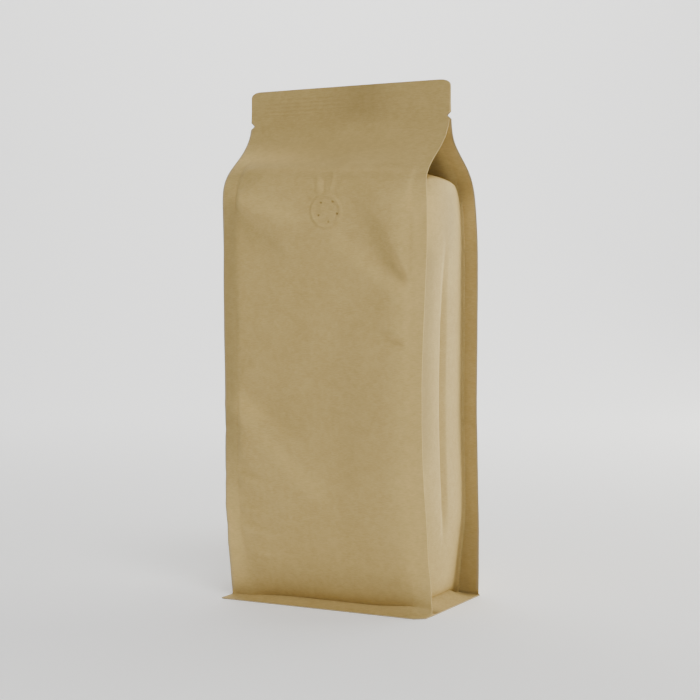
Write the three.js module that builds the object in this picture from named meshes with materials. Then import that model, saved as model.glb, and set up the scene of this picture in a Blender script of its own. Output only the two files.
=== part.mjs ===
// A closed flat-bottom coffee bag in kraft paper film, standing full.
// Four films are welded into side seams that stand out as flat fins at the four upright edges.
// The side gussets tuck in under a flat sealed header, and a welded foot flares out on the floor.
// Millimetres, +Z up, the front faces -Y, origin on the floor at the middle of the bag.
import * as THREE from 'three';

// Driving dimensions
const width = 130;              // over the side seams, at header and foot
const height = 297;
const bodyDepth = 77.8;         // between front and rear seams at half height
const footDepth = 77;           // over the flared foot, front to rear
const footWidth = 131.6;
const seamWidth = 9.6;          // side seam fin
const seamFlare = 4.2;          // extra fin width where the corner seals run into the foot
const filmPair = 0.6;           // two welded films
const headerFilms = 0.9;        // header where only the front and rear films meet
const headerFilmsTucked = 1.3;  // header over the folded side gussets

// Foot: the walls draw in to a welded seam, then flare out to the floor
const footSeamHeight = 4.8;
const footDrawIn = 7.6;         // front and rear, towards the middle
const footShift = 3.8;          // and the drawn-in foot seam lies this far to the rear
const footDrawInTop = 90;
const footEdge = 0.6;
const footCorner = 2;
const footCornerBlunt = 6;      // the front right corner is rounder
const footCornerBack = 9;       // where the foot's straight sides start, from its corners
const footOffset = -2.1;        // the foot sits a little forward of the body
const groovePeak = 3;           // height of the groove under the flared foot
const grooveInset = 0.8;        // film under the foot seam
const baseInset = 5;            // from the foot seam in to the flat base
const baseCorner = 3;

// Body
const waist = 2.2;              // each side pulls in this far at half height
const waistLow = 5;
const waistHigh = 220;
const shoulderLean = -3.8;      // the shoulder comes forward of the body,
const headerReturn = 1.8;       // and the header goes part of the way back
const panelBulge = 3.6;         // front and rear panels, outward from their seams
const panelSquareness = 2.6;
const panelFull = 45;           // the bulge is full from this height
const panelEase = 0.35;         // and loses this share of itself by the shoulder
const gussetBulge = 4.5;
const gussetSquareness = 2;
const pillowBulge = 2.2;        // extra side bulge just under the shoulder
const pillowLow = 170;
const pillowHigh = 225;
const gussetValley = 1.4;       // centre crease of the side gusset
const valleySharpness = 8;

// Shoulder and header
const shoulderHeight = 254;     // middle of the S-curve from body to header
const shoulderSoftness = 6.2;
const shoulderTaper = 4.8;
const shoulderRidge = 0.8;      // soft ridge across the panels at the shoulder
const ridgeHeight = 243;
const ridgeSpread = 4;
const ledgeHeight = 240;        // top of the side pillow, where the gusset tucks in
const ledgeSlant = 2.5;         // the ledge falls this far from its middle to the rear
const ledgeDrop = 14;           // and this far close to the folds
const ledgeSquareness = 5;
const ledgeRound = 3.2;
const floorSlope = 7;           // how fast the tuck runs inward with height
const tuckedHalf = 39;          // half the gusset's width, folded inward
const sealHeight = 279;         // where the tucked gusset closes
const notchHeight = 276.9;
const notchDepth = 2.2;
const notchHalf = 2;
const cornerAcross = 6;         // rounded upper corners
const cornerDown = 3.4;
const headerBow = 1.2;
const headerEdge = 0.4;         // the cut edge of the four films stands out to a blunt point

const clamp01 = (t) => Math.min(1, Math.max(0, t));
const smooth = (low, high, z) => {
  const t = clamp01((z - low) / (high - low));
  return t * t * (3 - 2 * t);
};
const mix = (a, b, t) => a + (b - a) * t;

// Share of the foot's draw-in that is left at height z
function drawnIn(z) {
  return (1 - Math.min(1, z / footDrawInTop)) ** 1.6;
}

// Half the distance between front and rear seams. crown is 0 at the seams and 1 at a panel's middle,
// where the shoulder turns later and sharper.
function halfDepth(z, crown = 0) {
  const body = bodyDepth / 2 - footDrawIn * drawnIn(z) - shoulderTaper * smooth(125, 262, z);
  const turn = (z - shoulderHeight - 3 * crown) / (shoulderSoftness - 1.4 * crown);
  return filmPair + (body - filmPair) / (1 + Math.exp(turn));
}

function middle(z) {
  return footShift * drawnIn(z) + shoulderLean * smooth(200, 262, z) + headerReturn * smooth(260, 276, z);
}

function waistAt(z) {
  const along = clamp01((z - waistLow) / (waistHigh - waistLow));
  return waist * Math.sin(Math.PI * along) ** 2;
}

// Where the side seam's outer edge runs, with the tear notch and the rounded upper corner
function halfWidth(z) {
  const notch = notchDepth * Math.max(0, 1 - Math.abs(z - notchHeight) / notchHalf);
  const intoCorner = clamp01((z - height + cornerDown) / cornerDown);
  const corner = cornerAcross * (1 - Math.sqrt(1 - intoCorner * intoCorner));
  return width / 2 - waistAt(z) - notch - corner;
}

// Where the panel folds into the side seam
function foldX(z) {
  return width / 2 - waistAt(z) - seamWidth - seamFlare * (1 - smooth(2, 55, z));
}

// Outward bulge of the front and rear panels between their seams
function panelOut(z) {
  const filled = panelBulge * smooth(2, panelFull, z) * (1 - panelEase * smooth(190, ridgeHeight, z));
  const ridge = shoulderRidge * Math.exp(-(((z - ridgeHeight) / ridgeSpread) ** 2));
  return (filled + ridge) * (1 - smooth(248, 276, z));
}

// How far the ledge lies below its middle, across the gusset from v = -1 at the front fold
// to v = 1 at the rear fold
function ledgeFall(v) {
  return ledgeSlant * v + ledgeDrop * Math.abs(v) ** ledgeSquareness;
}

// The gusset's stations lean with the ledge near it, and come back to the fold's height beside the fold
function alongLedge(v, z) {
  const near = smooth(214, 234, z) * (1 - smooth(249, 271, z));
  return ledgeFall(v) * near * (1 - Math.abs(v) ** 12);
}

// The side gusset at height z as a distance out from the fold lines: a pillow below the ledge,
// a deep tuck above it.
function gussetOut(v, z) {
  const crown = 1 - Math.abs(v) ** gussetSquareness;
  const out = (gussetBulge + pillowBulge * smooth(pillowLow, pillowHigh, z)) * crown;
  const creased = smooth(35, 60, z) - smooth(165, 200, z);
  const valley = gussetValley * creased * Math.exp(-((v * valleySharpness) ** 2));
  const above = Math.max(0, z - ledgeHeight + ledgeFall(v));
  const eased = above < 2 * ledgeRound ? above * above / (4 * ledgeRound) : above - ledgeRound;
  const floor = out - valley - floorSlope * eased;
  const reach = Math.sqrt(Math.max(0, tuckedHalf ** 2 - halfDepth(z) ** 2));
  return Math.max(floor, -reach * (1 - Math.abs(v)));
}

// Stations of a quarter of the outline, from the panel's middle to the gusset's middle
const panelStations = [0, 0.14, 0.285, 0.335, 0.46, 0.6, 0.74, 0.86, 0.95];
const finStations = [0, 0.5, 1];
const gussetStations = [-0.94, -0.85, -0.72, -0.56, -0.4, -0.26, -0.14, -0.05, 0];

// One quarter's points at height z; side is 1 for +X or -1 for -X, face is -1 for the front
function wallQuarter(z, side, face) {
  const half = halfWidth(z);
  const fold = foldX(z);
  const seam = halfDepth(z);
  const points = [];
  const add = (x, y) => points.push([side * x, y + middle(z) + bow(x, z), z]);
  for (const s of panelStations) {
    const x = s * fold;
    const crown = 1 - s ** panelSquareness;
    add(x, face * (halfDepth(z, crown) + panelOut(z) * crown - headerStep(x, z)));
  }
  for (const u of finStations) {
    add(mix(fold, half, u), face * seam);
  }
  const inner = seam - filmPair;
  if (z < sealHeight) {
    for (const u of [...finStations].reverse()) {
      add(mix(fold, half, u), face * inner);
    }
    for (const station of gussetStations) {
      const v = -face * station;
      const level = z - alongLedge(v, z);
      const x = foldX(level) + gussetOut(v, level);
      const y = v * (halfDepth(level) - filmPair) + middle(level) + bow(x, level);
      points.push([side * x, y, level]);
    }
  } else {
    const endCount = finStations.length + gussetStations.length;
    for (let i = 1; i <= endCount; i += 1) {
      const t = 1 - i / endCount;
      add(half + headerEdge * (1 - t), face * seam * t);
    }
  }
  return points;
}

// The header bows forward a little between its ends
function bow(x, z) {
  return -headerBow * smooth(245, height, z) * (1 - (x / (width / 2)) ** 2);
}

// The header is thinner where no gusset is folded in between
function headerStep(x, z) {
  const thinner = (headerFilmsTucked - headerFilms) / 2;
  return thinner * (1 - smooth(16, 18.5, x)) * smooth(270, 280, z);
}

// Whole outline at one level, counter-clockwise from above, from a function that makes one quarter
function outline(makeQuarter) {
  const frontRight = makeQuarter(1, -1);
  const rearRight = makeQuarter(1, 1);
  const rearLeft = makeQuarter(-1, 1);
  const frontLeft = makeQuarter(-1, -1);
  return [
    ...frontRight,
    ...rearRight.slice(0, -1).reverse(),
    ...rearLeft.slice(1),
    ...frontLeft.slice(1, -1).reverse(),
  ];
}

// The foot's outer edge: a rectangle with rounded corners, on the same stations
function footQuarter(z, side, face) {
  const halfX = footWidth / 2;
  const halfY = footDepth / 2;
  const radius = side > 0 && face < 0 ? footCornerBlunt : footCorner;
  const turnSteps = 2 * finStations.length;
  const points = [];
  const add = (x, y) => points.push([side * x, footOffset + face * y, z]);
  for (const s of panelStations) {
    add(s * (halfX - footCornerBack), halfY);
  }
  for (let i = 0; i < turnSteps; i += 1) {
    const angle = Math.PI / 2 * i / (turnSteps - 1);
    add(halfX - radius + radius * Math.sin(angle), halfY - radius + radius * Math.cos(angle));
  }
  for (const v of gussetStations) {
    add(halfX, -v * (halfY - footCornerBack));
  }
  return points;
}

// A ring under the foot with sides at x and y and a small round corner, on the same stations
function underQuarter(z, x, y, side, face) {
  const turnSteps = 2 * finStations.length;
  const points = [];
  const centre = middle(footSeamHeight);
  const add = (px, py) => points.push([side * px, centre + face * py, z]);
  for (const s of panelStations) {
    add(s * (x - baseCorner), y);
  }
  for (let i = 0; i < turnSteps; i += 1) {
    const angle = Math.PI / 2 * (i + 0.5) / turnSteps;
    add(x - baseCorner + baseCorner * Math.sin(angle), y - baseCorner + baseCorner * Math.cos(angle));
  }
  for (const v of gussetStations) {
    add(x + gussetBulge * (1 - v * v), -v * (y - baseCorner));
  }
  return points;
}

// The flare between the foot seam and the outer edge, q = 0 at the seam and 1 at the edge.
// Fins stay upright longest, so the flare is more hollow there.
function flareQuarter(q, side, face) {
  const seam = wallQuarter(footSeamHeight, side, face);
  const edge = footQuarter(footEdge, side, face);
  return seam.map((point, i) => {
    const fromFin = Math.abs(i - panelStations.length - 2.5);
    const hollow = 1.15 + 0.9 * Math.exp(-((fromFin / 2.5) ** 2));
    const drop = 1 - (1 - q) ** hollow;
    return [mix(point[0], edge[i][0], q), mix(point[1], edge[i][1], q), mix(point[2], edge[i][2], drop)];
  });
}

function levels() {
  const seam = halfDepth(footSeamHeight);
  const fold = foldX(footSeamHeight);
  const rows = [
    outline((side, face) => underQuarter(0, fold - baseInset + 2, seam - baseInset, side, face)),
    outline((side, face) => underQuarter(groovePeak, fold, seam - grooveInset, side, face)),
    outline((side, face) => footQuarter(0, side, face)),
  ];
  for (const q of [1, 0.75, 0.5, 0.25]) {
    rows.push(outline((side, face) => flareQuarter(q, side, face)));
  }
  const body = [footSeamHeight, 10, 18, 28, 40, 54, 70, 90, 112, 135, 157, 177, 195, 210, 220, 227, 232];
  const shoulder = [235.5, 238, 240, 241.2, 242.4, 243.6, 244.8, 246.1, 247.5, 249.2, 251.2, 253.4, 255.8,
    258.3, 261, 263.5, 266.5, 270, 273];
  const top = height - cornerDown;
  const header = [notchHeight - notchHalf, notchHeight, notchHeight + notchHalf - 0.05, sealHeight + 0.3,
    283, 288, top, top + cornerDown * 0.5, top + cornerDown * 0.8, top + cornerDown * 0.95, height];
  for (const z of [...body, ...shoulder, ...header]) {
    rows.push(outline((side, face) => wallQuarter(z, side, face)));
  }
  return rows;
}

// Skins the levels and closes both ends with strips from the front to the rear half of the outline
function skin(rows) {
  const count = rows[0].length;
  const positions = rows.flat(2);
  const triangles = [];
  for (let row = 0; row + 1 < rows.length; row += 1) {
    for (let i = 0; i < count; i += 1) {
      const next = (i + 1) % count;
      const a = row * count + i;
      const b = row * count + next;
      const c = a + count;
      const d = b + count;
      triangles.push(a, b, d, a, d, c);
    }
  }
  const top = (rows.length - 1) * count;
  for (const start of [0, count / 2]) {
    for (let i = 0; i < count / 4; i += 1) {
      const near = start + i;
      const nearNext = start + i + 1;
      const far = (start + count / 2 - i) % count;
      const farNext = start + count / 2 - i - 1;
      triangles.push(near, far, nearNext, top + near, top + nearNext, top + far);
      if (nearNext !== farNext) {
        triangles.push(nearNext, far, farNext, top + nearNext, top + farNext, top + far);
      }
    }
  }
  const geometry = new THREE.BufferGeometry();
  geometry.setAttribute('position', new THREE.Float32BufferAttribute(positions, 3));
  geometry.setIndex(triangles);
  geometry.computeVertexNormals();
  return geometry;
}

const kraftPaper = new THREE.MeshStandardMaterial({ color: 0xb49e70, roughness: 0.85, metalness: 0 });
const bag = new THREE.Mesh(skin(levels()), kraftPaper);
bag.name = 'bag';

const group = new THREE.Group();
group.add(bag);

export default group;
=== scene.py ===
import math

import bpy
import numpy as np
from mathutils import Matrix, Vector


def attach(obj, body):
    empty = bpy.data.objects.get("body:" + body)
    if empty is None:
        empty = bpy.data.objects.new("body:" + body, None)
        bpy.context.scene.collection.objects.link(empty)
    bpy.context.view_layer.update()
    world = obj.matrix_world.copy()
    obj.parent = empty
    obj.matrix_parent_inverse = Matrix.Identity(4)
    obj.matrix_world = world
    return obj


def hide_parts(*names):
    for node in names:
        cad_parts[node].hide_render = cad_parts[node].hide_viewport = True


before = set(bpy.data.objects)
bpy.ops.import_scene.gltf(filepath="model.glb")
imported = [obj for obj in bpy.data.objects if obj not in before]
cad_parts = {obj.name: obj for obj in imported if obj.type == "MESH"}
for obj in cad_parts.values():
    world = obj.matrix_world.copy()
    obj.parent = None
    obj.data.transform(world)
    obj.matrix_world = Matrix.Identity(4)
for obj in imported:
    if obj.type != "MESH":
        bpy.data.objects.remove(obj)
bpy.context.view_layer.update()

# Driving dimensions of the bag, in millimetres. The main ones repeat the solid's. The panels' bulge,
# the gussets' crease, the slope of the ledge, the foot's rear corners, the groove under the foot and
# the front right seam differ a little from it, to come closer to a real bag.
# A SPAN is a span of height over which something changes. SPANS are two: it rises over the first and
# falls back over the second.

# The body
WIDTH = 130.0
HEIGHT = 297.0
BODY_DEPTH = 77.8
FILM_PAIR = 0.6
WAIST = 2.2
WAIST_LOW = 5.0
WAIST_HIGH = 220.0
PANEL_BULGE = 2.9
BULGE_SPANS = (2, 45), (248, 276)
BULGE_EASE = 0.35  # the share of the bulge that is gone by the shoulder
EASE_SPAN = 190, 243
PANEL_LIMIT = 42.1  # no panel stands farther out than this
LIMIT_SOFTNESS = 0.35
STEP = 1.5  # from the flat seams up to the panels
STEP_ROUND = 3.6
STEP_SPANS = (8, 40), (228, 250)

# The foot
FOOT_WIDTH = 131.6
FOOT_DEPTH = 77.0
FOOT_OFFSET = -2.1
FOOT_EDGE = 0.6
FOOT_SEAM = 4.8
FOOT_DRAW_IN = 7.6
FOOT_DRAW_IN_TOP = 90.0
FOOT_SHIFT = 3.8
FOOT_TUCK = 2.4  # the films lie this much deeper at the foot seam, and less above it
PANEL_TUCK_REACH = 4.6
GUSSET_TUCK_REACH = 2.4
FOOT_SETBACK = 11.0  # the panels end this far inside the foot's sides
FOOT_CORNER_LEFT = 2.0
FOOT_CORNER_RIGHT = 6.0
FOOT_CORNER_REAR = 1.0
FILM_LANDING = 3.5  # the seams' inner films come down this far inside their landing
GUSSET_LANDING = 4.0  # and the gussets this far
GROOVE_PEAK = 2.0
GROOVE_INSET = 2.4
BASE_INSET_ENDS = 5.0  # from the foot seam in to the flat base, at the front and the rear
BASE_INSET_SIDES = 3.0
BASE_CORNER = 3.0
BASE_DISH = 0.5
REAR_DIP = 3.5  # the foot seam lies this much lower at the rear and beside the rear seams
FRONT_DIPS = 3.7, 2.3, 0.4  # and this much at the front's left, middle and right
DIP_TOP = 24.0

# The seams at the four upright edges
SEAM_WIDTH = 9.6
SEAM_FLARE = 4.2
FLARE_SPAN = 2, 55
RIGHT_FOLD = 2.6  # the front right seam is narrower by this much
FILLET = 1.5
FILLET_REACH = 1.8
FILLET_SPAN = 225, 240
FIN_SPANS = (4, 25), (225, 245)
LEFT_FIN_SPANS = (45, 90), (215, 245)

# The side gussets
GUSSET_BULGE = 4.5
GUSSET_HALF = 36.0
GUSSET_CREASE = 0.05  # the crease lies this share of half the gusset to the rear of its middle
CREASE_DEPTH = 1.6
CREASE_FRONT = 0.1
CREASE_REAR = 0.14
CREASED_SPANS = (30, 62), (150, 222)
CREASED_LOSS = 0.8
LOBE_BULGE = 1.1
PILLOW_BULGE = 2.2
PILLOW_SPAN = 170, 225
LEDGE = 240.0
LEDGE_TILT = 2.5
LEDGE_DROP = 14.0
LEDGE_ROUND = 3.2
LEDGE_SPANS = (214, 234), (249, 271)
FLOOR_SLOPE = 8.0
TUCKED_HALF = 39.0

# The shoulder and the header
SHOULDER = 254.0
SHOULDER_SOFTNESS = 6.2
SHOULDER_TAPER = 4.8
TAPER_SPAN = 125, 262
SHOULDER_LEAN = -3.8
LEAN_SPAN = 200, 262
CROWN_LIFT = 3.0
CROWN_TIGHTER = 1.4
RIDGE = 246.2
RIDGE_TILT = 0.0396
SEAL = 279.0
HEADER_RETURN = 1.8
RETURN_SPAN = 260, 276
HEADER_BOW = 1.2
HEADER_EDGE = 0.4
HEADER_STEP = 0.2
NOTCH = 276.9
NOTCH_DEPTH = 2.2
NOTCH_HALF = 2.0
CORNER_ACROSS = 6.0
CORNER_DOWN = 3.4
RIB_PITCH = 2.3
RIB_START = 282.2
RIB_SPANS = (281.6, 282.6), (291.8, 292.8)

# The valve behind the front film
VALVE_X = 5.4
VALVE_Z = 223.7
VALVE_RADIUS = 10.2
VALVE_RING = 0.34
VALVE_GROOVE = 0.12
VALVE_DISH = 0.14
DISH_EDGE = 6.5, 8.5
DISH_WRINKLES = 0.26
VALVE_HOLES = 5
HOLE_X = 6.3  # the circle of holes lies a little to the right of the ring's centre
HOLE_CIRCLE = 6.1
HOLE_RADIUS = 0.42
HOLE_DEPTH = 0.9
HOLE_TURN = -86.6

# Relief of the films: lines from start to end, as (across, height)
RELIEF_GAIN = 1.7
RELIEF_SPANS = (14, 40), (236, 252)
SHOULDER_FOLD = (-54, 235), (-14, 220)
LONG_FOLD = (8, 207), (52, 178)
LOWER_FOLD = (-55, 114), (0, 66)
SHORT_FOLD = (-53, 117), (-36, 108)
# line, width and height of each soft crease; those by the valve come first
CREASES = (
    (((1.2, 233), (-1.2, 243)), 1.4, 0.35),
    (((3.8, 234), (3.0, 242)), 1.3, -0.45),
    (((8.2, 235), (9.6, 245)), 1.3, 0.35),
    (((12.5, 233), (15.5, 241)), 1.4, 0.25),
    (((-9, 229), (-5.5, 232)), 2.5, -0.3),
    (((8.0, 213), (9.2, 206)), 1.5, 0.2),
    (((14.5, 212), (20, 205)), 3.0, -0.3),
    (((36, 168.5), (38.5, 167.5)), 0.7, -0.3),
    (LONG_FOLD, 6.5, 0.8),
    (SHOULDER_FOLD, 5.5, 0.8),
    (LOWER_FOLD, 6.0, 1.0),
)
# tip, far end, depth, width at the tip and at the far end, and reach of each dent; the first is
# the long diagonal from the right fold to the valve, the last three start at the left seam
DENTS = (
    ((58, 183.6), (18, 238), 3.8, 1.4, 17.0, 24.0),
    ((56.5, 150), (36, 160), 1.6, 1.0, 5.0, 8.0),
    ((-55, 238), (-14, 224), -1.2, 1.2, 6.0, 9.0),
    ((-55, 231), (-8, 186), 2.6, 4.0, 15.0, 16.0),
    ((-55, 117), (14, 70), -3.2, 1.0, 13.0, 20.0),
)
# height and depth of the small wrinkles from the left seam, and of those across the seam itself
WRINKLES = (167, 0.7), (150, 0.7), (137, 0.7), (97, 1.2), (74, 1.5), (57, 1.1), (45, 1.4), (33, 1.1)
SEAM_WRINKLES = (114, 0.3), (99, -0.4), (72.5, -0.4), (54.6, 0.4), (42.6, -0.4), (32.3, 0.35)

# The kinds of station along the outline: a panel, the two films of a seam, and a gusset
PANEL, SEAM_OUTSIDE, SEAM_INSIDE, GUSSET = range(4)
CORNERS = (-1, -1), (-1, 1), (1, -1), (1, 1)


def smooth(low, high, z):
    """Rises from 0 at low to 1 at high."""
    t = np.clip((z - low) / (high - low), 0.0, 1.0)
    return t * t * (3 - 2 * t)


def between(rise, fall, z):
    """Rises from 0 to 1 over the first span and falls back over the second."""
    return smooth(*rise, z) * (1 - smooth(*fall, z))


def bell(x, centre, spread):
    return np.exp(-(((x - centre) / spread) ** 2))


def mix(a, b, t):
    return a + (b - a) * t


def drawn_in(z):
    """How much of the foot's draw-in is left at that height."""
    return (1 - np.minimum(1.0, z / FOOT_DRAW_IN_TOP)) ** 1.6


def half_depth(z, crown=0.0):
    """From the middle plane to the film. A panel's crown turns in higher and tighter."""
    body = BODY_DEPTH / 2 - FOOT_DRAW_IN * drawn_in(z) - SHOULDER_TAPER * smooth(*TAPER_SPAN, z)
    turn = (z - SHOULDER - CROWN_LIFT * crown) / (SHOULDER_SOFTNESS - CROWN_TIGHTER * crown)
    return FILM_PAIR + (body - FILM_PAIR) / (1 + np.exp(turn))


def middle(z):
    """How far back the middle plane lies: back at the foot, forward at the shoulder."""
    lean = SHOULDER_LEAN * smooth(*LEAN_SPAN, z) + HEADER_RETURN * smooth(*RETURN_SPAN, z)
    return lean + FOOT_SHIFT * drawn_in(z)


def waist_at(z):
    along = np.clip((z - WAIST_LOW) / (WAIST_HIGH - WAIST_LOW), 0.0, 1.0)
    return WAIST * np.sin(math.pi * along) ** 2


def half_width(z):
    """Half the width over the seams, with the tear notches and the header's round corners."""
    notch = NOTCH_DEPTH * np.maximum(0.0, 1 - np.abs(z - NOTCH) / NOTCH_HALF)
    into = np.clip((z - HEIGHT + CORNER_DOWN) / CORNER_DOWN, 0.0, 1.0)
    corner = CORNER_ACROSS * (1 - np.sqrt(1 - into * into))
    return WIDTH / 2 - waist_at(z) - notch - corner


def fold_x(z):
    """Where the panels fold into the seams, which are wider near the foot."""
    return WIDTH / 2 - waist_at(z) - SEAM_WIDTH - SEAM_FLARE * (1 - smooth(*FLARE_SPAN, z))


def fillet_at(z):
    """How far out of the fold the gusset's root stands, up to the top of the pillow."""
    return FILLET * (1 - smooth(*FILLET_SPAN, z))


def panel_out(z):
    """The panels' bulge, fullest in the lower half."""
    eased = 1 - BULGE_EASE * smooth(*EASE_SPAN, z)
    return PANEL_BULGE * between(*BULGE_SPANS, z) * eased


def step_at(z):
    return STEP * between(*STEP_SPANS, z)


def ledge_fall(v):
    """The pillow's top edge falls to the rear, and to both seams."""
    return LEDGE_TILT * v + LEDGE_DROP * np.abs(v) ** 5


def along_ledge(v, z):
    """How far a row of the gusset sinks to run along that edge."""
    return ledge_fall(v) * between(*LEDGE_SPANS, z) * (1 - np.abs(v) ** 12)


def gusset_out(v, z):
    """How far the gusset stands out of the folds, from the front seam (-1) to the rear seam (1)."""
    round_off = 1 - np.abs(v) ** 1.9
    creased = between(*CREASED_SPANS, z)
    bulge = GUSSET_BULGE + PILLOW_BULGE * smooth(*PILLOW_SPAN, z) - CREASED_LOSS * creased
    # the centre crease is a shallow V, wider on its rear side, with a lobe on either side
    line = GUSSET_CREASE - 0.06 * smooth(150, 215, z) - 0.09 * (1 - smooth(20, 80, z))
    lobe = np.where(v < line, (v + 1) / (line + 1), (1 - v) / (1 - line))
    lobes = creased * LOBE_BULGE * 4 * lobe * (1 - lobe)
    off = np.where(v < line, (line - v) / CREASE_FRONT, (v - line) / CREASE_REAR)
    valley = CREASE_DEPTH * creased * np.clip(1 - off, 0, 1) ** 1.1
    tucked = FOOT_TUCK * round_off * np.exp(-(z - FOOT_SEAM) / GUSSET_TUCK_REACH)
    fillet = fillet_at(z) * np.exp(-(1 - np.abs(v)) * GUSSET_HALF / FILLET_REACH)
    # above the pillow the film dives in, until it has no more width to give
    above = np.maximum(0.0, z - LEDGE + ledge_fall(v))
    eased = above * above / (4 * LEDGE_ROUND)
    dive = FLOOR_SLOPE * np.where(above < 2 * LEDGE_ROUND, eased, above - LEDGE_ROUND)
    reach = np.sqrt(np.maximum(0.0, TUCKED_HALF**2 - half_depth(z) ** 2))
    surface = bulge * round_off + lobes - valley - tucked + fillet - dive
    return np.maximum(surface, -reach * (1 - np.abs(v)))


def bow(x, z):
    """The header's middle bows forward."""
    return -HEADER_BOW * smooth(245, HEIGHT, z) * (1 - (x / (WIDTH / 2)) ** 2)


def header_step(x, z):
    """The header is thinner in its middle, where no gusset is sealed in."""
    return HEADER_STEP * (1 - smooth(16, 18.5, np.abs(x))) * smooth(270, 280, z)


def swell(x, z, seed, size):
    """Smooth random undulation between about -1 and 1 with features of that size."""
    random = np.random.default_rng(seed)
    waves = 7
    total = 0
    for _ in range(waves):
        angle = random.uniform(0, math.tau)
        step = math.tau / (size * random.uniform(0.8, 1.9))
        phase = random.uniform(0, math.tau)
        total = total + np.sin(x * step * math.cos(angle) + z * step * math.sin(angle) + phase)
    return total / waves * 1.6


def crease(x, z, start, end, width):
    """A soft ridge of height 1 along a line, fading at both ends."""
    dx = end[0] - start[0]
    dz = end[1] - start[1]
    length = math.hypot(dx, dz)
    along = ((x - start[0]) * dx + (z - start[1]) * dz) / length**2
    across = ((x - start[0]) * dz - (z - start[1]) * dx) / length
    return between((-0.25, 0.2), (0.8, 1.25), along) * bell(across, 0, width)


def dent(x, z, tip, end, depth, narrow, wide, reach):
    """Opens from a sharp tip: the film steps up across the line and eases back on both sides."""
    dx = end[0] - tip[0]
    dz = end[1] - tip[1]
    length = math.hypot(dx, dz)
    along = ((x - tip[0]) * dx + (z - tip[1]) * dz) / length**2
    across = ((z - tip[1]) * dx - (x - tip[0]) * dz) / length * math.copysign(1, dx)
    width = mix(narrow, wide, np.clip(along, 0, 1))
    fade = between((-0.04, 0.08), (0.45, 1.15), along) * mix(0.55, 1, smooth(0, 0.3, along))
    return depth * fade * np.tanh(across / width) * np.exp(-np.abs(across) / reach)


def inside_folds(x):
    return 1 - smooth(54, 62, np.abs(x))


def film_relief(x, z, ridge, lip, hollow, broad, fine, seed):
    """What both films share: the shoulder's lip over a hollow, and a broad and a fine swell."""
    shoulder = lip * bell(ridge, 1.5, 2.6) - hollow * bell(ridge, -5, 4)
    uneven = broad * swell(x, z, seed, 70) + fine * swell(x, z, seed + 5, 24)
    return inside_folds(x) * (shoulder + between(*RELIEF_SPANS, z) * uneven)


def valve_relief(x, z):
    """The valve behind the film: a raised ring, a soft wrinkled dish inside it, and its pinholes."""
    r = np.hypot(x - VALVE_X, z - VALVE_Z)
    ring = VALVE_RING * bell(r, VALVE_RADIUS - 1.5, 1.0)
    groove = VALVE_GROOVE * bell(r, VALVE_RADIUS + 0.2, 0.7)
    dish = VALVE_DISH * (1 - smooth(*DISH_EDGE, r))
    d = ring - groove - dish + DISH_WRINKLES * swell(x, z, 21, 5) * bell(r, 0, 7)
    for i in range(VALVE_HOLES):
        angle = math.radians(HOLE_TURN + 360 / VALVE_HOLES * i)
        from_x = x - HOLE_X - HOLE_CIRCLE * math.cos(angle)
        from_z = z - VALVE_Z - HOLE_CIRCLE * math.sin(angle)
        d = d - HOLE_DEPTH * np.exp(-((np.hypot(from_x, from_z) / HOLE_RADIUS) ** 4))
    return d


def front_relief(x, z):
    """How far the front film stands out from its even bulge."""
    ridge = z - RIDGE + RIDGE_TILT * x
    d = film_relief(x, z, ridge, lip=0.75, hollow=0.7, broad=0.5, fine=0.22, seed=3)
    # the left of the shoulder is fuller under the ridge and sinks above it
    left = (1 - smooth(-42, -5, x)) * inside_folds(x)
    fuller = 1.5 * between((-40, -4), (-2, 11), ridge)
    sunk = 0.7 * bell(ridge, 13, 6)
    d = d + left * (fuller - sunk) + valve_relief(x, z)
    for line, width, height in CREASES:
        d = d + height * crease(x, z, *line, width)
    for shape in DENTS:
        d = d + dent(x, z, *shape)
    for height, depth in WRINKLES:
        tip, end = (-55, height), (-26, height - 7)
        d = d - dent(x, z, tip, end, depth, narrow=1.3, wide=3.2, reach=6.0)
    return d


def rear_relief(x, z):
    return film_relief(x, z, z - RIDGE, lip=0.6, hollow=0.55, broad=0.4, fine=0.14, seed=33)


def proud(from_fold, z):
    """The panel steps up from the flat seam beside it with a small round shoulder."""
    return step_at(z) * (1 - np.exp(-np.maximum(0.0, from_fold) / STEP_ROUND))


def seam_ripple(t, z, side, face):
    """Wrinkles across the welded seams; the front left one has a few more."""
    d = 0.16 * swell(z, t * 6, 50 + 2 * side + face, 26)
    if side < 0 and face < 0:
        for height, amount in SEAM_WRINKLES:
            d = d + amount * bell(z, height - 4 * (1 - t), 3.0)
    return d * between((10, 30), (236, 250), z)


def spaced(spans):
    """Values through each span (low, high, step), without repeats."""
    values = []
    for low, high, step in spans:
        count = max(1, round((high - low) / step))
        values.extend(low + (high - low) * i / count for i in range(count))
    values.append(spans[-1][1])
    return np.array(values)


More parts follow.
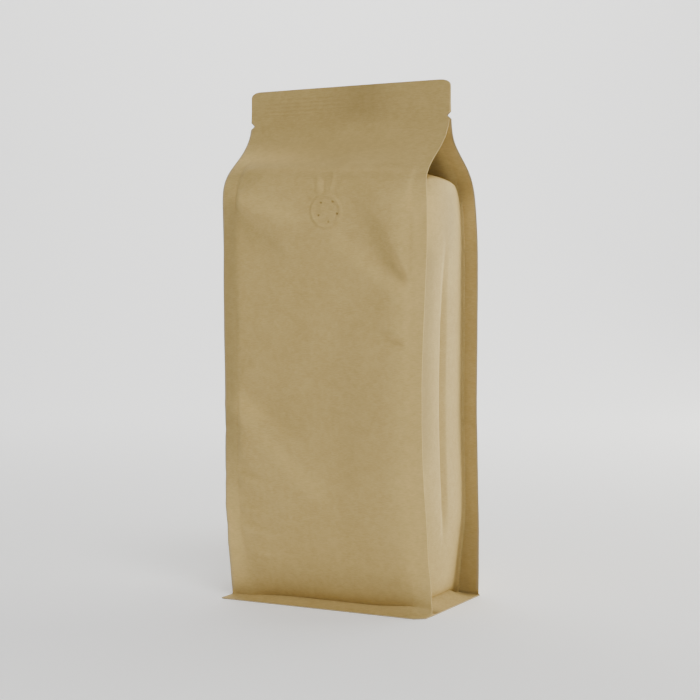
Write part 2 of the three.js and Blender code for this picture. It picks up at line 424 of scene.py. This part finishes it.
def column_table():
    """The outline's stations, counter-clockwise from above: kind, side, face and place in its strip."""
    fold = WIDTH / 2 - SEAM_WIDTH
    turn = (54, fold, 0.35)
    right = spaced([(0, 15.6, 0.38), (15.6, 54, 1.0), turn]) / fold
    left = spaced([(0, 4.8, 0.38), (4.8, 54, 1.1), turn]) / fold
    rear = spaced([(0, 54, 2.4), turn]) / fold
    fin = np.array([0, 0.2, 0.45, 0.72, 1.0])
    half = spaced([(0, 0.3, 0.03), (0.3, 0.8, 0.07), (0.8, 1.0, 0.035)])
    # two stations share the crease, so it shades as a sharp line
    gusset = np.concatenate([-half[::-1][1:], half[:-1]])
    gusset = gusset + GUSSET_CREASE * (1 - gusset**2)
    strips = (
        (PANEL, 1, -1, right[:-1]),
        (SEAM_OUTSIDE, 1, -1, fin),
        (SEAM_INSIDE, 1, -1, fin[::-1]),
        (GUSSET, 1, 1, gusset),
        (SEAM_INSIDE, 1, 1, fin),
        (SEAM_OUTSIDE, 1, 1, fin[::-1]),
        (PANEL, 1, 1, rear[:-1][::-1]),
        (PANEL, -1, 1, rear[1:-1]),
        (SEAM_OUTSIDE, -1, 1, fin),
        (SEAM_INSIDE, -1, 1, fin[::-1]),
        (GUSSET, -1, 1, gusset[::-1]),
        (SEAM_INSIDE, -1, -1, fin),
        (SEAM_OUTSIDE, -1, -1, fin[::-1]),
        (PANEL, -1, -1, left[1:-1][::-1]),
    )
    return np.array([(kind, side, face, v) for kind, side, face, values in strips for v in values])


KIND, SIDE, FACE, PLACE = column_table().T
COLUMNS = len(PLACE)
IS_PANEL = KIND == PANEL
IS_GUSSET = KIND == GUSSET
FRONT = FACE < 0
REAR = FACE > 0
LEFT = SIDE < 0
RIGHT = SIDE > 0
OUTER_FILM = KIND < SEAM_INSIDE  # the panels' films, out to the cut edges


def set_panels(x, y, z, fold):
    """The front and rear films between their folds."""
    s = PLACE[IS_PANEL]
    face = FACE[IS_PANEL]
    x[IS_PANEL] = s * fold[IS_PANEL]
    across = SIDE[IS_PANEL] * x[IS_PANEL]
    crown = 1 - s**2.6
    out = np.maximum(0.0, panel_out(z) - step_at(z)) * crown
    tuck = FOOT_TUCK * np.exp(-(z - FOOT_SEAM) / PANEL_TUCK_REACH) * (1 - s**8)
    step = proud((1 - s) * fold[IS_PANEL], z)
    relief = np.where(face < 0, front_relief(across, z), rear_relief(across, z))
    relief = RELIEF_GAIN * relief * (1 - s**24) - header_step(across, z)
    surface = half_depth(z, crown) + out - tuck + step + relief
    past = (surface - PANEL_LIMIT + face * middle(z)) / LIMIT_SOFTNESS
    y[IS_PANEL] = face * (surface - LIMIT_SOFTNESS * np.logaddexp(0.0, past))


def set_seams(x, y, z, fold, half, depth):
    """The fins from fold to cut edge: the panel's film outside and the gusset's inside."""
    for kind, film in ((SEAM_OUTSIDE, 0.0), (SEAM_INSIDE, FILM_PAIR)):
        pick = KIND == kind
        t = PLACE[pick]
        root = fold[pick] + film / FILM_PAIR * fillet_at(z)
        x[pick] = mix(root, half[pick], t)
        ripple = np.zeros(len(t))
        for side, face in CORNERS:
            these = (SIDE[pick] == side) & (FACE[pick] == face)
            ripple[these] = (seam_ripple(t, z, side, face) * np.sin(math.pi / 2 * t) ** 0.5)[these]
        y[pick] = FACE[pick] * (depth[pick] - film + ripple)
        # three of the fins curl back
        right = between(*FIN_SPANS, z) * (RIGHT & FRONT)[pick] * t
        left = between(*LEFT_FIN_SPANS, z) * (LEFT & FRONT)[pick] * t
        rear = between(*FIN_SPANS, z) * (RIGHT & REAR)[pick] * t**2
        x[pick] += right * (-0.5 - 1.2 * bell(z, 28, 18)) + 0.7 * left - 0.5 * rear
        y[pick] += 4.4 * right + 2.0 * left + 1.0 * rear


def set_gussets(x, y, fold, depth, level):
    """The side films between the inner films of their seams."""
    v = PLACE[IS_GUSSET]
    x[IS_GUSSET] = fold[IS_GUSSET] + gusset_out(v, level[IS_GUSSET])
    y[IS_GUSSET] = v * (depth[IS_GUSSET] - FILM_PAIR)


def set_header_ends(x, y, half, depth):
    """Above the seal the gussets are shut, and the stations go around the header's ends."""
    for side in (-1, 1):
        end = np.where(~OUTER_FILM & (SIDE == side))[0]
        place = np.linspace(1, -1, len(end) + 2)[1:-1]
        y[end] = -side * place * depth[end]
        x[end] = half[end] + HEADER_EDGE * (1 - np.abs(place))


def wall(z):
    """The outline at height z."""
    level = np.full(COLUMNS, float(z))
    level[IS_GUSSET] = z - along_ledge(PLACE[IS_GUSSET], z)
    fold = fold_x(level) + RIGHT_FOLD * (RIGHT & FRONT & OUTER_FILM)
    half = half_width(level)
    depth = half_depth(level)
    x = np.zeros(COLUMNS)
    y = np.zeros(COLUMNS)
    set_panels(x, y, z, fold)
    set_seams(x, y, z, fold, half, depth)
    if z < SEAL:
        set_gussets(x, y, fold, depth, level)
    else:
        set_header_ends(x, y, half, depth)
    x = x * SIDE
    y = y + middle(level) + bow(x, level)
    return np.stack([x, y, level], 1)


def under(z, half_x, half_y):
    """A ring under the bag, with straight sides and round corners."""
    angle = math.pi / 4 * np.where(KIND == SEAM_OUTSIDE, PLACE, 2 - PLACE)
    x = half_x - BASE_CORNER + BASE_CORNER * np.sin(angle)
    y = (half_y - BASE_CORNER + BASE_CORNER * np.cos(angle)) * FACE
    x[IS_PANEL] = PLACE[IS_PANEL] * (half_x - BASE_CORNER)
    y[IS_PANEL] = half_y * FACE[IS_PANEL]
    x[IS_GUSSET] = half_x
    y[IS_GUSSET] = PLACE[IS_GUSSET] * (half_y - BASE_CORNER)
    return np.stack([x * SIDE, y + middle(FOOT_SEAM), np.full(COLUMNS, float(z))], 1)


def foot(z):
    """The foot's outer edge. The seams come down on its short sides, behind the corners."""
    half_x = FOOT_WIDTH / 2
    half_y = FOOT_DEPTH / 2
    shift = middle(FOOT_SEAM) - FOOT_OFFSET
    start = half_x - FOOT_SETBACK
    round_from, round_to = 0.45, 0.8
    x = np.where(IS_PANEL, PLACE * start, half_x)
    y = half_y * FACE
    for side, face in CORNERS:
        corner = (SIDE == side) & (FACE == face)
        radius = FOOT_CORNER_LEFT if side < 0 else FOOT_CORNER_RIGHT
        radius = radius if face < 0 else FOOT_CORNER_REAR
        landing = min(half_depth(FOOT_SEAM) + face * shift, half_y - radius)
        pick = corner & (KIND == SEAM_OUTSIDE)
        t = PLACE[pick]
        angle = math.pi / 2 * np.clip((t - round_from) / (round_to - round_from), 0, 1)
        px = half_x - radius + radius * np.sin(angle)
        py = half_y - radius + radius * np.cos(angle)
        px = np.where(t < round_from, mix(start, half_x - radius, t / round_from), px)
        down = (t - round_to) / (1 - round_to)
        py = np.where(t > round_to, mix(half_y - radius, landing, down), py)
        x[pick] = px
        y[pick] = py * face
        pick = corner & (KIND == SEAM_INSIDE)
        y[pick] = mix(landing - FILM_LANDING, landing - FILM_PAIR, PLACE[pick]) * face
        pick = IS_GUSSET & (SIDE == side) & (PLACE * face > 0)
        y[pick] = PLACE[pick] * (landing - GUSSET_LANDING)
    return np.stack([x * SIDE, y + FOOT_OFFSET, np.full(COLUMNS, float(z))], 1)


def flare(q):
    """From the foot seam (q = 0) out and down to the floor (q = 1), steeper beside the seams."""
    seam = wall(FOOT_SEAM)
    edge = foot(FOOT_EDGE)
    # the greater the power, the steeper the film leaves the seam
    upright = np.where(KIND == SEAM_INSIDE, mix(4.5, 0.5, PLACE**2), 0.5)
    upright = np.where(RIGHT & FRONT, 4.5, upright)
    hollow = np.where(IS_GUSSET, 1.35, 1.9)
    hollow = np.where(KIND == SEAM_OUTSIDE, 1.9 + upright * smooth(0, 0.45, PLACE), hollow)
    hollow = np.where(KIND == SEAM_INSIDE, 1.6 + upright, hollow)
    hollow = hollow + np.where(IS_PANEL, 0.6 * bell(PLACE, 1, 0.06), 0.0)
    hollow = hollow + np.where(IS_GUSSET, 4.0 * bell(np.abs(PLACE), 1, 0.09), 0.0)
    ring = mix(seam, edge, q)
    ring[:, 2] = mix(seam[:, 2], edge[:, 2], 1 - (1 - q) ** hollow)
    return ring


def make_rows():
    """All rings of the bag, from the middle of its base over the foot and up to the header's top."""
    seam = float(half_depth(FOOT_SEAM))
    fold = float(fold_x(FOOT_SEAM))
    centre = float(middle(FOOT_SEAM))
    base = under(0, fold - BASE_INSET_SIDES, seam - BASE_INSET_ENDS)
    groove = under(GROOVE_PEAK, fold, seam - GROOVE_INSET)
    bottom = foot(0)
    rows = []
    for k in (0.01, 0.04, 0.09, 0.18, 0.35, 0.55, 0.75, 0.9):
        ring = base.copy()
        ring[:, 1] = centre + (base[:, 1] - centre) * k
        ring[:, 2] = BASE_DISH * math.exp(-((k / 0.05) ** 2))
        rows.append(ring)
    rows.append(base)
    for t in (0.3, 0.6, 0.85):
        ring = mix(base, groove, t)
        ring[:, 2] = GROOVE_PEAK * t**1.4
        rows.append(ring)
    rows.append(groove)
    for t in (0.25, 0.5, 0.75, 0.95):
        ring = mix(groove, bottom, t)
        ring[:, 2] = GROOVE_PEAK * (1 - t) ** 1.2
        rows.append(ring)
    rows.append(bottom)
    for q in (1, 0.97, 0.9, 0.8, 0.7, 0.6, 0.5, 0.4, 0.3, 0.22, 0.15, 0.1, 0.06, 0.03):
        rows.append(flare(q))
    body = [(FOOT_SEAM, 30, 1.3), (30, 205, 1.6), (205, 211.5, 0.8), (211.5, 236, 0.4)]
    shoulder = [(236, 262, 0.65), (262, 274.9, 0.9), (274.9, 278.9, 0.4)]
    corner = HEIGHT - CORNER_DOWN
    header = [(SEAL + 0.06, 281.5, 0.8), (281.5, 292.5, 0.34), (292.5, corner, 0.5)]
    top = [(corner, HEIGHT - 0.6, 0.4), (HEIGHT - 0.6, HEIGHT, 0.12)]
    for z in [*spaced(body + shoulder), *spaced(header + top)]:
        rows.append(wall(z))
    return rows


def settle(points):
    """The foot seam lies lower at the front and beside the rear seams than along the sides."""
    x, z = points[:, 0], points[:, 2]
    lower = np.maximum(0, z - FOOT_EDGE) / (FOOT_SEAM - FOOT_EDGE)
    share = np.where(z < FOOT_SEAM, lower, 1 - smooth(FOOT_SEAM, DIP_TOP, z))
    left, centre, right = FRONT_DIPS
    front = mix(mix(left, centre, smooth(-62, -25, x)), right, smooth(28, 58, x))
    amount = np.where(OUTER_FILM & FRONT, front, REAR_DIP)
    amount = np.where(IS_GUSSET, REAR_DIP * smooth(0.5, 1.0, PLACE), amount)
    amount = np.where((KIND == SEAM_INSIDE) & FRONT, right, amount)
    points[:, 2] -= amount * share


def add_ribs(points):
    """Fine ribs that the sealing jaws press across the header, clearest at its left."""
    z = points[:, 2]
    height = mix(0.08, 0.02, smooth(-40, 15, points[:, 0])) * between(*RIB_SPANS, z)
    ribs = height * np.sin((z - RIB_START) * math.tau / RIB_PITCH)
    points[:, 1] += np.where(IS_PANEL, FACE * ribs, 0.0)


def front_painted_light(x, z):
    """The front: painted sheens along its folds and edges, and painted shade on the header and the left
    seam.
    """
    ridge = z - RIDGE + RIDGE_TILT * x
    header = 0.15 * bell(x, 10, 20) * smooth(270, 286, z) + 0.08 * smooth(252, 272, z)
    under_ridge = 0.06 * bell(ridge, -2.5, 2.2)
    left_seam = 0.17 * (1 - smooth(-58, -51, x)) * between((70, 95), (225, 240), z)
    long_shade = 0.06 * bell(x, 22, 11) * between((35, 60), (130, 180), z)
    over_ridge = 0.3 * bell(ridge, 8, 6) * (1 - smooth(-50, 15, x))
    right_edge = 0.15 * smooth(38, 58, x) * between((5, 20), (225, 245), z)
    right_fold = 0.1 * bell(x, 56.6, 1.3) * between((220, 226), (243, 247), z)
    left_corner = 0.21 * (1 - smooth(-60, -44, x)) * between((3, 10), (45, 75), z)
    low_band = 0.06 * between((14, 28), (60, 110), z)
    tone = over_ridge + right_edge + right_fold + left_corner + low_band
    tone = tone - header - under_ridge - left_seam - long_shade
    for line, sheen in ((SHOULDER_FOLD, 0.12), (LONG_FOLD, 0.1), (LOWER_FOLD, 0.13), (SHORT_FOLD, 0.1)):
        tone = tone + sheen * crease(x, z, *line, 6)
    return tone


def rear_seam_painted_light(z):
    """The rear seams' inner film: painted shade, darker near the foot, and darkest in the gap just above
    the floor, where a shadow falls.
    """
    tone = -0.06 - 0.2 * (1 - smooth(20, 75, z)) + 0.14 * smooth(190, 225, z)
    gap = (z < 2.0) & (z > 0.65)
    return np.where(gap, -0.55, tone)


def side_painted_light(x, z):
    """The gussets: painted shade by the seams, on the foot's flare, and in the hollow above the pillow.
    """
    beside = -0.17 * bell(PLACE, -0.5, 0.2) - 0.16 * bell(PLACE, 0.82, 0.12)
    upper = 0.14 * bell(PLACE, -0.6, 0.35) - 0.12 * bell(PLACE, 0.15, 0.3)
    tone = beside * between((70, 100), (195, 220), z) + upper * between((190, 215), (230, 238), z)
    flared = (z < 4.6) & (z > FOOT_EDGE)
    tone = np.where(flared, -0.12 - 0.3 * bell(PLACE, -0.95, 0.25), tone)
    tucked = fold_x(z) - np.abs(x)
    return tone - 0.38 * smooth(1.0, 7.0, tucked) * smooth(225, 235, z)


def painted_light_and_shade(points):
    """How much painted light and shade make the paper paler or darker than its even colour."""
    x, z = points[:, 0], points[:, 2]
    tone = np.where(OUTER_FILM & FRONT, front_painted_light(x, z), 0.0)
    tone = np.where((KIND == SEAM_INSIDE) & REAR, rear_seam_painted_light(z), tone)
    return np.where(IS_GUSSET, side_painted_light(x, z), tone)


def cut_edge(points):
    """1 where a film's cut edge shows: along the fins, but for the front right one, and at the floor."""
    x, y, z = points.T
    tip = ~IS_PANEL & ~IS_GUSSET & (PLACE > 0.99) & (LEFT | REAR)
    rim = (z <= FOOT_EDGE) & (np.hypot(x / FOOT_WIDTH, y / FOOT_DEPTH) > 0.47)
    return np.where((tip & (z < SEAL) & (z > FOOT_SEAM - 1)) | rim, 1.0, 0.0)


def build_mesh():
    rows = make_rows()
    for ring in rows:
        settle(ring)
        add_ribs(ring)
    faces = []
    for row in range(len(rows) - 1):
        a = row * COLUMNS
        for i in range(COLUMNS):
            j = (i + 1) % COLUMNS
            faces.append((a + i, a + j, a + COLUMNS + j, a + COLUMNS + i))
    last = (len(rows) - 1) * COLUMNS
    faces.append(tuple(range(COLUMNS))[::-1])
    faces.append(tuple(range(last, last + COLUMNS)))
    mesh = bpy.data.meshes.new("coffee_bag")
    metres = np.concatenate(rows) / 1000
    mesh.from_pydata(metres.tolist(), [], faces)
    mesh.shade_smooth()
    mesh.set_sharp_from_angle(angle=math.radians(50))
    # the second attribute holds painted light and shade for the paper's colour
    for name, measure in (("cut_edge", cut_edge), ("painted_light_and_shade", painted_light_and_shade)):
        attribute = mesh.attributes.new(name, "FLOAT", "POINT")
        attribute.data.foreach_set("value", np.concatenate([measure(ring) for ring in rows]))
    return mesh


class Value:
    """A shader socket that takes part in plain sums."""

    tree = None

    def __init__(self, socket):
        self.socket = socket

    @classmethod
    def node(cls, kind, output=0, settings=(), **inputs):
        """Adds a node and gives its output. An input goes by its label, or by i and its number."""
        made = cls.tree.nodes.new(kind)
        for name, value in dict(settings).items():
            setattr(made, name, value)
        for name, value in inputs.items():
            numbered = name[0] == "i" and name[1:].isdigit()
            key = int(name[1:]) if numbered else name.replace("_", " ")
            cls.feed(made.inputs[key], value)
        return cls(made.outputs[output])

    @classmethod
    def feed(cls, socket, value):
        if isinstance(value, Value):
            cls.tree.links.new(value.socket, socket)
        else:
            socket.default_value = value

    @classmethod
    def math(cls, operation, a, b):
        return cls.node("ShaderNodeMath", 0, {"operation": operation}, i0=a, i1=b)

    def __add__(self, other):
        return Value.math("ADD", self, other)

    def __sub__(self, other):
        return Value.math("SUBTRACT", self, other)

    def __mul__(self, other):
        return Value.math("MULTIPLY", self, other)

    def __rsub__(self, other):
        return Value.math("SUBTRACT", other, self)

    __radd__ = __add__
    __rmul__ = __mul__

    def range(self, low, high, to_low=0.0, to_high=1.0):
        return Value.node("ShaderNodeMapRange", 0, {"interpolation_type": "SMOOTHSTEP"}, Value=self,
                          From_Min=low, From_Max=high, To_Min=to_low, To_Max=to_high)


def blend(factor, a, b):
    """Mixes two colours."""
    return Value.node("ShaderNodeMix", 2, {"data_type": "RGBA"}, i0=factor, i6=a, i7=b)


def noise(where, scale, detail, roughness):
    return Value.node("ShaderNodeTexNoise", 0, (), Vector=where,
                      Scale=scale, Detail=detail, Roughness=roughness)


def kraft_material():
    """Brown paper with lying fibres, matt, and greyer along its cut edges."""
    dark_paper = (0.416, 0.296, 0.1, 1)
    pale_paper = (0.529, 0.386, 0.146, 1)
    paper_core = (0.33, 0.28, 0.2, 1)
    material = bpy.data.materials.new("kraft_paper")
    material.use_nodes = True
    tree = material.node_tree
    tree.nodes.clear()
    Value.tree = tree
    output = tree.nodes.new("ShaderNodeOutputMaterial")
    shader = tree.nodes.new("ShaderNodeBsdfPrincipled")
    tree.links.new(shader.outputs[0], output.inputs[0])
    place = Value.node("ShaderNodeTexCoord", "Object")
    stretched = Value.node("ShaderNodeMapping", 0, (), Vector=place, Scale=(1.0, 1.0, 7.0))
    mottle = noise(place, 45, 3.0, 0.55)
    cloud = noise(place, 260, 2.0, 0.5)
    fibre = noise(stretched, 420, 4.0, 0.6)
    grain = noise(place, 2600, 2.0, 0.6)
    tone = mottle.range(0.3, 0.7) * 0.2 + cloud.range(0.3, 0.7) * 0.25 + fibre.range(0.3, 0.7) * 0.55
    colour = blend(tone, dark_paper, pale_paper)
    # painted light and shade: this attribute makes the paper's colour paler or darker
    paler = Value.node("ShaderNodeAttribute", "Fac", {"attribute_name": "painted_light_and_shade"})
    colour = Value.node("ShaderNodeVectorMath", 0, {"operation": "SCALE"}, i0=colour, Scale=paler + 1.0)
    edge = Value.node("ShaderNodeAttribute", "Fac", {"attribute_name": "cut_edge"})
    colour = blend(edge.range(0.35, 1.0) * 0.6, colour, paper_core)
    height = grain * 0.5 + fibre * 0.5
    bump = Value.node("ShaderNodeBump", 0, (), Strength=0.25, Distance=0.00012, Height=height)
    Value.feed(shader.inputs["Base Color"], colour)
    Value.feed(shader.inputs["Roughness"], fibre.range(0.3, 0.7, 0.72, 0.82))
    Value.feed(shader.inputs["Specular IOR Level"], 0.25)
    Value.feed(shader.inputs["Normal"], bump)
    return material


def floor_material():
    """Pale grey that glows a little."""
    material = bpy.data.materials.new("pale_floor")
    material.use_nodes = True
    inputs = material.node_tree.nodes["Principled BSDF"].inputs
    inputs["Base Color"].default_value = (0.9, 0.9, 0.9, 1)
    inputs["Roughness"].default_value = 0.9
    inputs["Emission Color"].default_value = (1, 1, 1, 1)
    inputs["Emission Strength"].default_value = 0.25
    return material


def place_in_scene(name, data):
    thing = bpy.data.objects.new(name, data)
    bpy.context.scene.collection.objects.link(thing)
    return thing


def add_stage():
    """A floor that curves up to a wall behind the bag, in metres, square to the camera."""
    half, front, bend, radius, top, steps = 5, -3.0, 1.2, 0.8, 4.0, 12
    profile = [(front, 0.0), (bend, 0.0)]
    for i in range(1, steps + 1):
        angle = math.pi / 2 * i / steps
        profile.append((bend + radius * math.sin(angle), radius - radius * math.cos(angle)))
    profile.append((bend + radius, top))
    points = [(x, y, z) for y, z in profile for x in (-half, half)]
    faces = [(2 * i, 2 * i + 1, 2 * i + 3, 2 * i + 2) for i in range(len(profile) - 1)]
    mesh = bpy.data.meshes.new("floor")
    mesh.from_pydata(points, [], faces)
    mesh.shade_smooth()
    mesh.materials.append(floor_material())
    floor = place_in_scene("floor", mesh)
    floor.rotation_euler = (0, 0, math.radians(28.5))


def add_light(name, place, aim, size, power, colour=(1, 1, 1)):
    light = bpy.data.lights.new(name, "AREA")
    light.shape = "RECTANGLE"
    light.size, light.size_y = size
    light.energy = power
    light.color = colour
    light.spread = math.pi
    lamp = place_in_scene(name, light)
    lamp.location = place
    lamp.rotation_euler = (Vector(aim) - Vector(place)).to_track_quat("-Z", "Y").to_euler()


def add_lights():
    """Places in metres. The two lamps that shine on the bag from behind are warm."""
    bag = (0, 0, 0.15)
    square = (0.6, 0.6)
    warm = (1, 0.98, 0.84)
    add_light("front_high", (0.61, -0.61, 1.38), bag, square, 16.7)
    add_light("front_low", (-0.16, -0.78, 0.12), bag, (0.4, 0.4), 1.9)
    add_light("right_rear", (1.06, 1.06, 0.15), bag, square, 25.2, warm)
    add_light("rear", (0.51, 1.41, 0.15), bag, square, 20.2, warm)
    add_light("top", (0, 0, 1.65), bag, square, 1.0)
    add_light("backdrop", (-0.5, 0.9, 1.6), (-1.0, 2.2, 0.2), (2.0, 1.0), 40)


def add_world():
    """Dark surroundings, so that the lamps alone light the bag."""
    world = bpy.data.worlds.new("world")
    world.use_nodes = True
    colour, strength = world.node_tree.nodes["Background"].inputs[:2]
    colour.default_value = (1, 1, 1, 1)
    strength.default_value = 0.0
    bpy.context.scene.world = world


def add_camera():
    """Looks at the bag from the right and a little above."""
    yaw, pitch, roll = math.radians(28.52), math.radians(2.59), math.radians(-0.34)
    distance = 0.9127
    picture_width, focal_length = 700, 1570  # both in pixels
    sensor_width = 36
    back = Vector((math.sin(yaw) * math.cos(pitch), -math.cos(yaw) * math.cos(pitch), math.sin(pitch)))
    right = Vector((math.cos(yaw), math.sin(yaw), 0))
    up = back.cross(right)
    across = right * math.cos(roll) + up * math.sin(roll)
    upward = up * math.cos(roll) - right * math.sin(roll)
    aim = Vector((0, -0.0017, 0.14464)) + right * 0.0002
    data = bpy.data.cameras.new("camera")
    data.sensor_width = sensor_width
    data.lens = focal_length / picture_width * sensor_width
    camera = place_in_scene("camera", data)
    turn = Matrix((across, upward, back)).transposed().to_4x4()
    camera.matrix_world = Matrix.Translation(aim + back * distance) @ turn
    bpy.context.scene.camera = camera


def main():
    bag = place_in_scene("coffee_bag", build_mesh())
    bag.data.materials.append(kraft_material())
    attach(bag, "root")
    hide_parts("bag")
    add_stage()
    add_camera()
    add_lights()
    add_world()


main()
